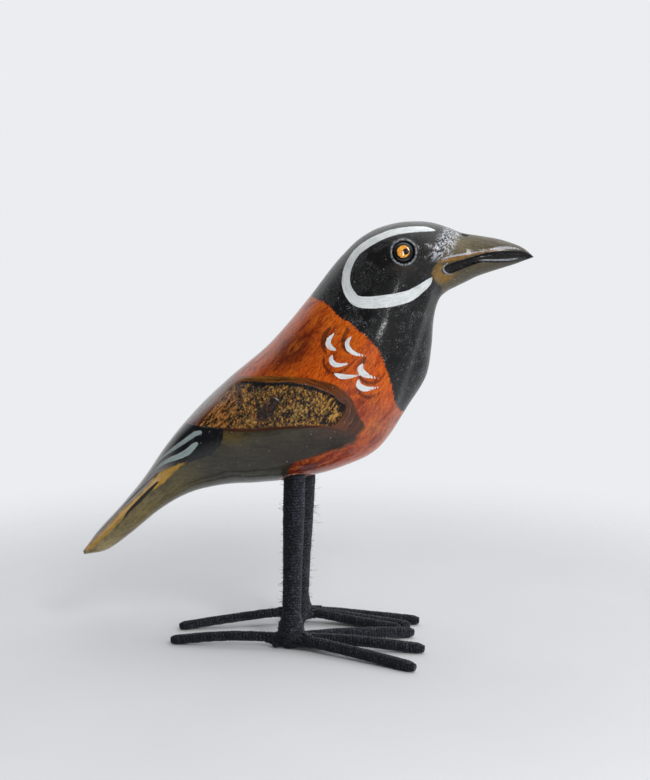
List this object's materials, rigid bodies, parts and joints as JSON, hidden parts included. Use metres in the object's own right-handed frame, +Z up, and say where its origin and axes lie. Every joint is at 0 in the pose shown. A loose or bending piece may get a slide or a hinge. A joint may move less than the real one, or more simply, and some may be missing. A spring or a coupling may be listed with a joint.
{
  "type": "wooden bird figurine",
  "caption": "Hand-carved, painted and varnished wooden bird ornament that stands on thread-bound wire legs with splayed toes.",
  "frame": {"origin": "on the ground, under the middle of the whole figure's box", "axes": "+X the way the bird looks, +Y its left side, +Z up"},
  "size_m": [0.1642, 0.0636, 0.1531],
  "materials": {
    "painted_wood": "hand-painted and gloss varnished",
    "eye_bead": "clear and glossy over a painted iris",
    "black_thread": "matt wound thread"
  },
  "bodies": {
    "root": {"body": "painted_wood", "eye_right": "eye_bead", "eye_left": "eye_bead", "leg_right": "black_thread", "leg_left": "black_thread"}
  },
  "joints": []
}
